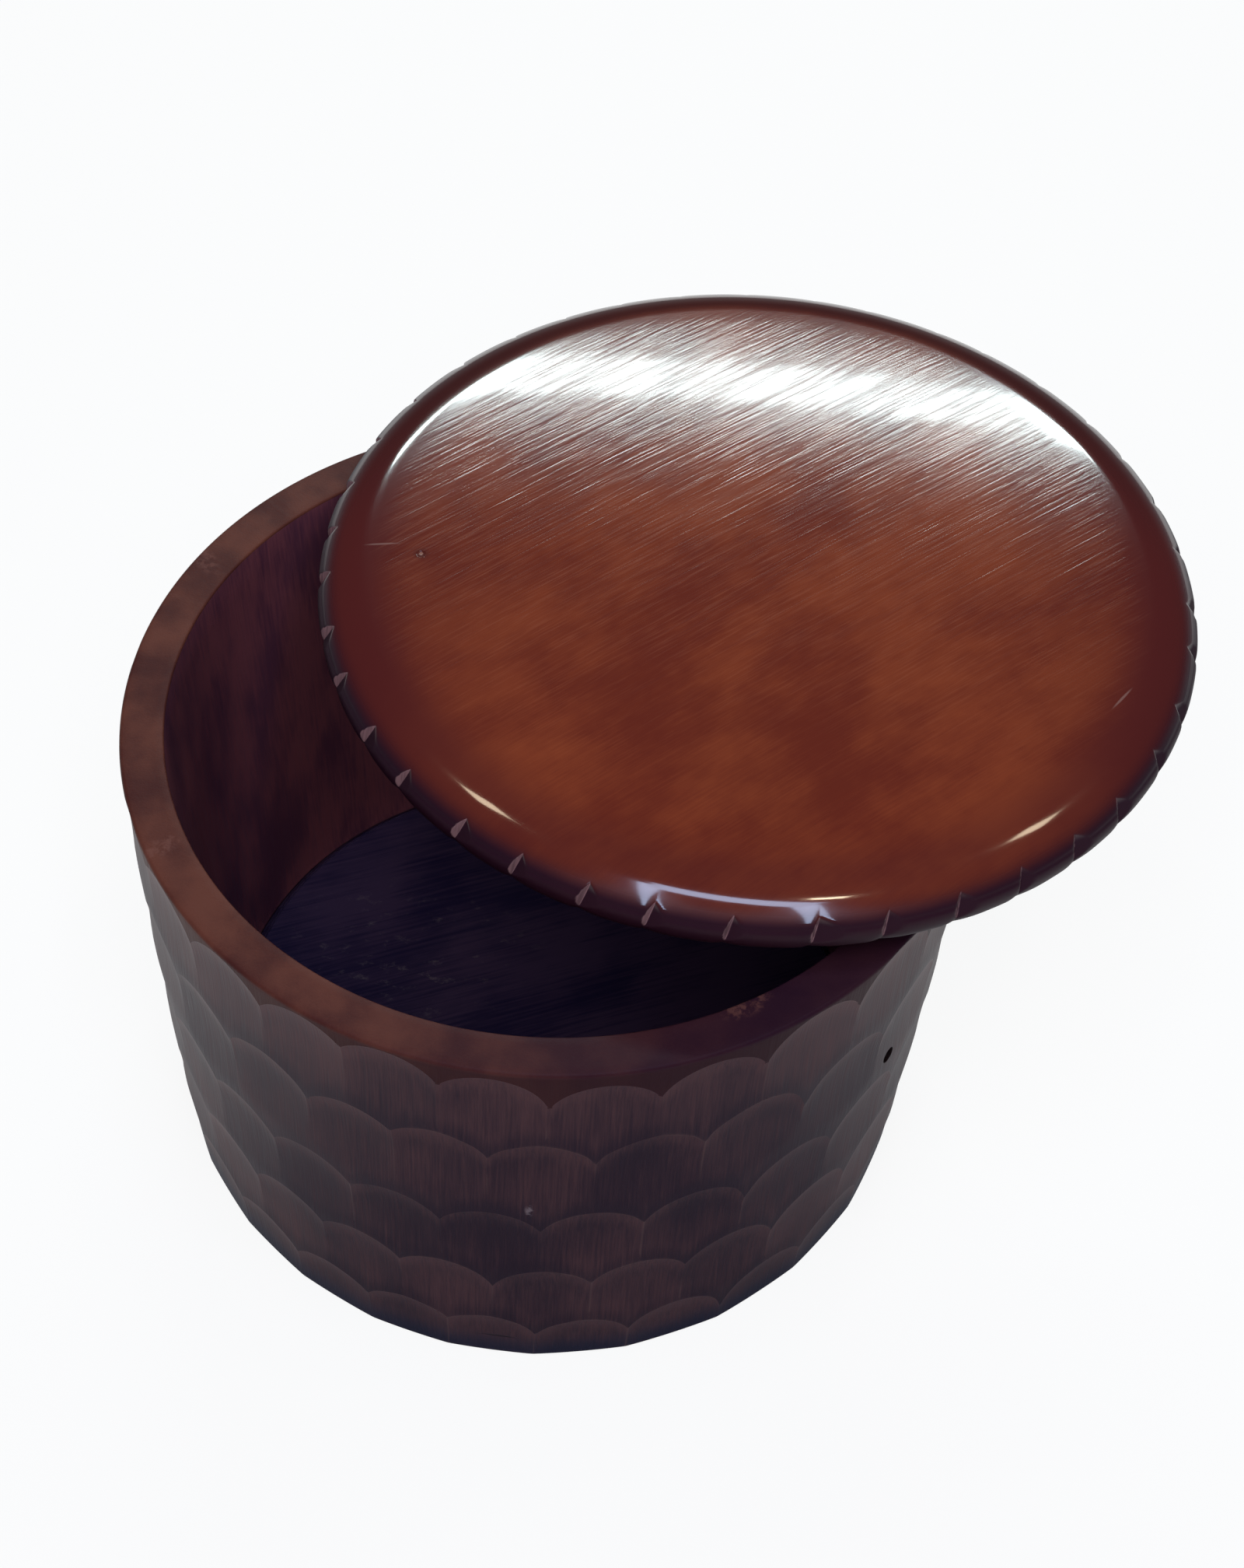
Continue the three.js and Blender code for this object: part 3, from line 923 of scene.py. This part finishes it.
# %% Rim colour
def rim_colour(wood, height, grain, crumbs):
    """Cloudy red-brown, with painted lid shadow on the right, darker under the edge, worn pale in three
    spots.
    """
    cloudy = wood.clouds(wood.here, mm(14, 14, 14)) + grain.sway(0.15)
    crumbly = wood.ease(crumbs, 0.42, 0.62)
    return wood.layers(
        wood.mix(wood.ease(cloudy, 0.3, 0.7), *RIM_STAINS),
        # Painted shadow of the lid, which falls on the right of the rim.
        (wood.fade(wood.axis(wood.here, "X"), -65, 50) * 0.85, RIM_PAINTED_SHADOW),
        *((wood.spot(wood.here, *spot) * crumbly * 0.45, RIM_WORN) for spot in WORN_SPOTS),
        (wood.ease(height, RIM_HEIGHT - 0.3 * MM, RIM_HEIGHT - 1.5 * MM) * 0.6, RIM_UNDER),
    )


# %% Carved wood finish
def carved_wood():
    """Stained outside, warm rim, rubbed lines, grain and tool marks."""
    wood = Finish("carved_stained_wood", 0.09, 0.5)
    height = wood.axis(wood.here, "Z")
    grain = wood.clouds(wood.here, mm(0.5, 0.5, 18), 3.0, 0.6)
    clouds = wood.clouds(wood.here, mm(16, 16, 26))
    crumbs = wood.clouds(wood.here, mm(1.6, 1.6, 1.6), 4.0, 0.65)
    stroke_map = wood.node("ShaderNodeUVMap", {"uv_map": STROKE_MAP})
    below_arch = wood.axis(stroke_map, "Y")
    tone = wood.attribute("stroke_tone")
    across = wood.axis(stroke_map, "X") / MARK_WIDTH
    marks = wood.noise(wood.join(across, below_arch / MARK_LENGTH, tone * TONE_SPREAD), 2.0)
    below_rim = wood.ease(height, RIM_HEIGHT - 0.3 * MM, RIM_HEIGHT - 0.8 * MM)
    on_outside = below_rim * (1.0 - wood.attribute("uncut"))
    from_arch = wood.attribute("from_arch")
    from_ridge = wood.attribute("from_ridge")
    # Lighter lines on arches and ridges: real wear that also stands for a painted highlight.
    rubbed_and_highlit = wood.fade(from_arch, 0.6, 0.1) * 0.17 + wood.fade(from_ridge, 0.35, 0.05) * 0.3
    rubbed_and_highlit = rubbed_and_highlit * on_outside * wood.ease(clouds, 0.4, 0.6)
    # Painted light and shade: each stroke is lighter just under its arch, where it faces up, and darker at
    # its lower end.
    painted_light_under_arch = wood.fade(below_arch, 7, 0.3)
    painted_shade_at_bottom = wood.fade(from_arch, 7, 0.5) * wood.fade(below_arch, 7, 14)
    # Painted light: the wall is lighter low down and near the rim.
    painted_light_at_ends = wood.fade(height, 60, 20) + wood.fade(height, 85, 112)
    uneven = clouds * 0.35 + 0.28 + tone * 0.05 + grain.sway(0.35) + marks.sway(0.2)
    uneven = uneven + painted_light_under_arch * 0.12 - painted_shade_at_bottom * 0.1 + painted_light_at_ends * 0.1
    outside = wood.mix(wood.ease(uneven, 0.3, 0.8), *OUTSIDE_STAINS)
    # Painted shade and reflection: the foot of the wall is tinted dark blue.
    outside = wood.mix(wood.fade(height, 11, 2) * 0.7, outside, FOOT_PAINTED_SHADE)
    colour = wood.mix(on_outside, rim_colour(wood, height, grain, crumbs), outside)
    chip = wood.spot(wood.here, CHIP_PLACE, CHIP_SIZE) * wood.ease(crumbs, 0.4, 0.55)
    slit = wood.spot(wood.here, SLIT_PLACE, SLIT_SIZE)
    coats = ((rubbed_and_highlit, RUBBED_AND_HIGHLIT), (chip * 0.6, CHIP_COLOUR), (slit * 0.8, SLIT_COLOUR))
    colour = wood.layers(colour, *coats)
    roughness = 0.5 + grain.sway(0.2) + marks.sway(0.2) - rubbed_and_highlit * 0.2
    relief = grain.sway(0.04 * MM) + marks.sway(0.07 * MM) * on_outside
    return wood.surface(colour, roughness, relief - slit * (0.15 * MM), on_outside * 0.22)


# %% [markdown]
# ## Inside the jar
# The bore was turned and stained, but never polished by hands. Its grain runs upright, and faint
# rings from the lathe tool cross it.

# %% Bore finish
BORE_STAINS = (linear(82, 46, 64), linear(116, 64, 74))
BORE_GRAIN = (mm(0.7, 0.7, 24), mm(14, 14, 30))


def bore_wood():
    """Dark red-brown turned wood with upright grain."""
    wood = Finish("turned_bore_wood", 0.15)
    grain, colour = wood.straight_grain(wood.here, BORE_GRAIN, BORE_STAINS, 0.6)
    rings = wood.clouds(wood.here, mm(60, 60, 0.5), 1.0)
    return wood.surface(colour, 0.45 + grain.sway(0.3), grain.sway(0.06 * MM) + rings.sway(0.02 * MM))


# %% [markdown]
# ## Knot hole
# The hollow that the knot left is rough, and painted almost black as the shade inside it.

# %% Knot hollow finish
def knot_hollow():
    """Rough wood inside the knot hole, painted almost black as shade."""
    wood = Finish("knot_hollow_wood", 0.1)
    crumbs = wood.clouds(wood.here, mm(1, 1, 1), 4.0, 0.7)
    # Painted shade: the hollow is coloured almost black.
    colour = wood.mix(crumbs, linear(8, 5, 9), linear(34, 21, 20))
    return wood.surface(colour, 0.7 + crumbs * 0.2, crumbs * (0.3 * MM))


# %% [markdown]
# ## Floor board
# The base board is darker than the wall, with its own straight grain across it, and dust has
# settled on it in a few pale smudges.

# %% Floor board finish
FLOOR_STAINS = (linear(30, 24, 52), linear(56, 42, 66))
FLOOR_GRAIN = (mm(26, 0.8, 3), mm(30, 18, 30))
FLOOR_GRAIN_TURN = math.radians(20)
DUST_COLOUR = linear(120, 108, 110)
DUST_PLACE = (*mm(-34, 18), BOARD_THICKNESS)
DUST_SIZE = mm(26, 18, 30)


def floor_wood():
    """Nearly black board with straight grain and a little dust."""
    wood = Finish("floor_board_wood", 0.12)
    grain, colour = wood.straight_grain(wood.here, FLOOR_GRAIN, FLOOR_STAINS, turn=FLOOR_GRAIN_TURN)
    from_dust = wood.length(wood.place(wood.here, DUST_SIZE, DUST_PLACE))
    smudges = wood.ease(wood.clouds(wood.here, mm(5, 3, 5), 5.0, 0.7), 0.56, 0.72)
    dusty = smudges * wood.ease(from_dust, 1.6, 0.3)
    colour = wood.mix(dusty * 0.35, colour, DUST_COLOUR)
    return wood.surface(colour, 0.5 + grain.sway(0.3) + dusty * 0.2, grain.sway(0.05 * MM))


# %% [markdown]
# ## Lid polish
# The lid's dome has a warm, slightly cloudy stain under polish. It was rubbed down in one
# direction, so fine short scratches run across it. The gloss has two layers: a lower one that
# follows the scratches and spreads a halo, and a smooth coat above it that keeps the bright core.
# Round the bend the polish is smooth, and painted shade darkens it there, towards the left and
# right, at the back edge and on the side below. The pale grain hairs on the dome brighten towards
# the back as a painted highlight. In the nicks the steep flank is bare, the sloping one is painted
# dark as shade, and the pale core of the pin knot is a painted glint.

# %% Lid colours and places
LID_STAINS = (linear(97, 37, 26), linear(125, 57, 34))
BEND_PAINTED_SHADE = linear(78, 27, 26)
BACK_PAINTED_SHADE = linear(54, 22, 22)
SIDE_PAINTED_SHADE = linear(26, 8, 27)
PALE_HAIRS_AND_GLINTS = linear(156, 104, 84)
NICK_PAINTED_SHADE = linear(42, 18, 30)
NICK_BARE = linear(136, 102, 106)
RUB_TURN = math.radians(38)
SCRATCH_COLOUR = linear(140, 108, 100)
SCRATCH_SIZE = mm(4.5, 0.35, 9)
SCRATCHES = ((mm(-79.8, 2.3, 12), 0.07), (mm(73, -33.5, 12), 0.9))
PIN_KNOT = mm(-71.5, -0.5, 0)
PIN_KNOT_RING = linear(60, 26, 26)
PIN_KNOT_PAINTED_GLINT = linear(150, 110, 96)


# %% Lid finish
def lid_polish():
    """Red-brown polish, scratched on the dome, with painted shade round the bend, bare in the nicks."""
    wood = Finish("lid_polish", 0.17, 0.06)
    centred = wood.place(wood.here, centre=LID_CENTRE)
    plan = wood.plan(centred)
    radius = wood.length(plan)
    x, y, height = [wood.axis(centred, name) for name in "XYZ"]
    scratch = wood.clouds(centred, mm(16, 0.55, 9), 1.0, turn=RUB_TURN)
    grain = wood.clouds(centred, mm(8, 0.32, 9), 2.0, turn=RUB_TURN)
    clouds = wood.clouds(centred, mm(34, 24, 40), 4.0, 0.6, RUB_TURN)
    knot = wood.length(wood.place(plan, centre=PIN_KNOT))
    # The sloping flank of each nick is painted dark as shade; the steep flank is bare wood.
    steep, slope = [wood.fade(wood.attribute(flank), 0.02, 0.16) for flank in FLANKS]
    on_dome = wood.fade(radius, 84, 76)
    # The side below the bend: rougher, and darkened with painted shade.
    side = wood.fade(height, 10.8, 8)
    sideways = wood.node("ShaderNodeMath", {"operation": "ABSOLUTE"}, {0: x})
    # Painted shade round the bend and towards the left and right of the lid.
    painted_shade_bend = wood.fade(radius, 72, 84) * 0.5 + wood.fade(sideways, 40, 84) * 0.5
    # Painted shade on the back edge, which faces away from the light.
    painted_shade_at_back = wood.fade(y, 0, 60) * wood.fade(radius, 81, 85)
    # Pale grain hairs, brighter towards the back as a painted highlight in the glare.
    hairs_and_glints = wood.ease(grain, 0.5, 0.75) * on_dome * wood.fade(y, -70, 20)
    bare = wood.fade(x, 70, -30) * 0.5 + wood.ease(grain, 0.3, 0.6) * 0.4
    scratches = [wood.spot(centred, place, SCRATCH_SIZE, turn) * 0.5 for place, turn in SCRATCHES]
    colour = wood.layers(
        wood.mix(wood.ease(clouds + grain.sway(0.2), 0.3, 0.72), *LID_STAINS),
        (painted_shade_bend, BEND_PAINTED_SHADE),
        (painted_shade_at_back * 0.8, BACK_PAINTED_SHADE),
        (hairs_and_glints * 0.17, PALE_HAIRS_AND_GLINTS),
        (side * 0.9, SIDE_PAINTED_SHADE),
        (slope * 0.5, NICK_PAINTED_SHADE),
        (steep * bare, NICK_BARE),
        *((share, SCRATCH_COLOUR) for share in scratches),
        # Pin knot: a dark ring, and a pale core that is a painted glint.
        (wood.fade(knot, 2.2, 0.7) * 0.5, PIN_KNOT_RING),
        (wood.fade(knot, 0.55, 0.3) * 0.7, PIN_KNOT_PAINTED_GLINT),
    )
    roughness = 0.12 + scratch.sway(on_dome) * 0.1 + side * 0.4 + slope * 0.2 + steep * 0.3
    relief = scratch.sway(0.032 * MM) * on_dome - wood.fade(knot, 1.1, 0.4) * (0.25 * MM)
    unscratched = 1.0 - on_dome * (0.62 + wood.ease(scratch, 0.45, 0.62) * 0.3)
    polish = wood.fade(height, 7.8, 9.2) * (1.0 - steep) * unscratched * 0.75
    return wood.surface(colour, roughness, relief, polish)


# %% [markdown]
# ## Plug finish
# The plug is stained like the lid but only waxed, with rings from the lathe tool.

# %% Plug finish
PLUG_STAINS = (linear(66, 32, 28), linear(104, 58, 40))
PLUG_GRAIN = (mm(28, 0.8, 3), mm(40, 16, 30))
RING_WIDTH = 0.6 * MM


def plug_wood():
    """Waxed red-brown disc with straight grain and fine turning rings."""
    wood = Finish("waxed_plug_wood", 0.35)
    centred = wood.place(wood.here, centre=LID_CENTRE)
    grain, colour = wood.straight_grain(centred, PLUG_GRAIN, PLUG_STAINS, turn=RUB_TURN)
    rings = wood.noise(wood.join(wood.length(wood.plan(centred)) / RING_WIDTH, 0.0), 1.0)
    return wood.surface(colour, 0.45 + grain.sway(0.25), grain.sway(0.04 * MM) + rings.sway(0.03 * MM))


# %% [markdown]
# ## Dress the pieces
# The wall takes three finishes: one for its outside and rim, one for its bore, and one for the
# knot hole. Which one a face takes is told from where it is. The other pieces take one each.

# %% Assign the finishes
KNOT_MARGIN = 0.15 * MM


def is_bore(centre):
    """True for a face of the wall that looks into the jar."""
    inside = math.hypot(centre.x, centre.y) < MOUTH_RADIUS
    return inside and BOARD_THICKNESS - BOARD_BEVEL < centre.z < RIM_HEIGHT - MOUTH_CHAMFER


def is_knot(centre):
    """True for a face inside the knot hole."""
    outwards = Vector((math.cos(KNOT_ANGLE), math.sin(KNOT_ANGLE), 0))
    sideways = Vector((-outwards.y, outwards.x, 0)).dot(centre)
    near = abs(centre.z - KNOT_HEIGHT) < KNOT_TALL and abs(sideways) < KNOT_WIDTH
    deep = blank_radius(centre.z) - STROKE_DEPTH - KNOT_MARGIN
    return near and MOUTH_RADIUS < math.hypot(centre.x, centre.y) < deep and outwards.dot(centre) > 0


jar_wall.data.materials.clear()
for finish in (carved_wood(), bore_wood(), knot_hollow()):
    jar_wall.data.materials.append(finish)
for face in jar_wall.data.polygons:
    face.material_index = 1 if is_bore(face.center) else 2 if is_knot(face.center) else 0
base_board.data.materials.append(floor_wood())
lid_panel.data.materials.append(lid_polish())
lid_plug.data.materials.append(plug_wood())
print("materials", len(bpy.data.materials))

# %% [markdown]
# ## What carries what
# The wall and the board belong to the jar. The panel and the plug are lifted together as the
# lid. Each piece stands for the plain solid of the same part.

# %% Frame
for piece, body, node, slot in (
    (jar_wall, "jar", "jar_wall", "carved_wood"),
    (base_board, "jar", "base_board", "floor_wood"),
    (lid_panel, "lid", "lid_panel", "lid_wood"),
    (lid_plug, "lid", "lid_plug", "plug_wood"),
):
    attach(piece, body)
    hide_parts(node)
    print(piece.name, "rides on", body)

# %% [markdown]
# ## Studio floor and light
# The jar stands on a plain floor that shows nearly white but keeps the jar's shadow. A dark card
# before the jar, which only reflections see, keeps the front of the wall deep. A long low window
# behind gives the lid its bright band. A bluish skylight overhead, with two arms that reach
# forwards, gives the bend of the lid its pale line, and three small warm lamps give it the thin
# streaks. A soft fill in front reaches into the jar. The world is brighter near the horizon, as
# in a room with pale walls, and shows as pale as the floor.

# %% Floor
FLOOR_SIZE = 6.0
GLOW_SHARE = 0.88
CARD_PLACE = (0.02, -0.13, 0.0)
CARD_REACH = 0.2
CARD_SOLID_REACH = 0.05
CARD_COLOUR = (0.1, 0.11, 0.15, 1)
FLOOR_COLOURS = ((0.9, 0.9, 0.9, 1), (0.88, 0.89, 0.9, 1))
WHITE = (1, 1, 1, 1)

floor_shape = bmesh.new()
bmesh.ops.create_grid(floor_shape, x_segments=4, y_segments=4, size=FLOOR_SIZE / 2)
studio_floor = new_piece("studio_floor", floor_shape)
ground = Finish("studio_floor_finish", 0.1)
floor_tone = ground.clouds(ground.here, (0.4, 0.4, 0.4), 2.0)
floor_colour = ground.mix(floor_tone, *FLOOR_COLOURS)
studio_floor.data.materials.append(ground.surface(floor_colour, 0.6, floor_tone * (0.01 * MM)))
camera_ray, glossy_ray, clear_ray = [
    ground.node("ShaderNodeLightPath", (), (), f"Is {ray} Ray")
    for ray in ("Camera", "Glossy", "Transmission")
]
from_card = ground.length(ground.place(ground.here, centre=CARD_PLACE))
over_card = ground.ease(from_card, CARD_REACH, CARD_SOLID_REACH) * glossy_ray
glow_colour = ground.mix(over_card, WHITE, CARD_COLOUR)
glow = ground.node("ShaderNodeEmission", (), {"Color": glow_colour, "Strength": 1.0})
lit = Value(ground, ground.shader.outputs[0])
glow_share = (camera_ray + glossy_ray + clear_ray) * GLOW_SHARE
pale = ground.node("ShaderNodeMixShader", (), {0: glow_share, 1: lit, 2: glow})
ground.feed(ground.tree.nodes["Material Output"].inputs["Surface"], pale)

# %% World
HORIZON_LIGHT = (0.2, 0.2, 0.21, 1)
UPPER_LIGHT = (0.05, 0.05, 0.055, 1)
UPPER_SKY_START = 0.35
BACKGROUND = (0.9, 0.9, 0.9, 1)

world = bpy.data.worlds.new("studio")
world.use_nodes = True
bpy.context.scene.world = world
sky = Nodes(world.node_tree)
upward = sky.axis(sky.node("ShaderNodeTexCoord", (), (), "Generated"), "Z")
sky_colour = sky.mix(sky.ease(upward, 0.0, UPPER_SKY_START), HORIZON_LIGHT, UPPER_LIGHT)
seen_directly = sky.node("ShaderNodeLightPath", (), (), "Is Camera Ray")
sky_colour = sky.mix(seen_directly, sky_colour, BACKGROUND)
sky.feed(world.node_tree.nodes["Background"].inputs["Color"], sky_colour)

# %% Lamps
LIT_POINT = Vector((0.02, 0.02, 0.12))
PANEL_DISTANCE = 1.5
CEILING = 1.54
DAYLIGHT = (0.84, 1.0, 1.0)
WARM_DAYLIGHT = (1.0, 0.96, 0.9)
BLUE_DAYLIGHT = (0.55, 0.7, 1.0)
LAMPLIGHT = (1.0, 0.82, 0.58)


def soft_lamp(name, place, width, height, radiance, colour):
    """A rectangular lamp at a place given as a matrix; unturned, it shines straight down."""
    lamp = bpy.data.lights.new(name, "AREA")
    lamp.shape = "RECTANGLE"
    lamp.size = width
    lamp.size_y = height
    lamp.color = colour
    lamp.energy = radiance * math.pi * width * height
    panel = bpy.data.objects.new(name, lamp)
    panel.matrix_world = place
    panel.visible_camera = False
    bpy.context.scene.collection.objects.link(panel)
    return panel


def facing_jar(azimuth, elevation):
    """A place that faces the jar; azimuth 0 is behind it and grows towards +X."""
    around, up = math.radians(azimuth), math.radians(elevation)
    towards = Vector((math.sin(around) * math.cos(up), math.cos(around) * math.cos(up), math.sin(up)))
    turn = towards.to_track_quat("Z", "Y").to_matrix().to_4x4()
    return Matrix.Translation(LIT_POINT + towards * PANEL_DISTANCE) @ turn


def ceiling_strip(name, start, end, width, radiance, colour):
    """A lamp under the ceiling, from one place in plan to another."""
    along = Vector(end) - Vector(start)
    middle = (Vector(start) + Vector(end)) / 2
    turn = Matrix.Rotation(math.atan2(along.y, along.x), 4, "Z")
    place = Matrix.Translation((middle.x, middle.y, CEILING)) @ turn
    soft_lamp(name, place, along.length, width, radiance, colour)


soft_lamp("window_behind", facing_jar(2.5, 36.9), 0.88, 0.045, 70, DAYLIGHT)
soft_lamp("fill_in_front", facing_jar(185, 55), 0.9, 0.7, 5.6, WARM_DAYLIGHT).visible_glossy = False
ceiling_strip("skylight_across", (-0.17, -0.08), (0.29, -0.26), 0.18, 11, BLUE_DAYLIGHT)
ceiling_strip("skylight_left", (-0.17, -0.08), (-0.56, -1.4), 0.07, 14, BLUE_DAYLIGHT)
ceiling_strip("skylight_right", (0.26, -0.25), (0.5, -1.5), 0.1, 14, BLUE_DAYLIGHT)
ceiling_strip("lamp_left", (-0.58, 0.4), (-0.43, 0.4), 0.12, 14, LAMPLIGHT)
ceiling_strip("lamp_right", (0.68, 0.5), (0.83, 0.5), 0.12, 14, LAMPLIGHT)
ceiling_strip("lamp_middle", (0.26, -0.04), (0.36, -0.04), 0.05, 40, LAMPLIGHT)
print("lamps", len(bpy.data.lights))

# %% Finish
bpy.context.scene.view_settings.view_transform = "Standard"
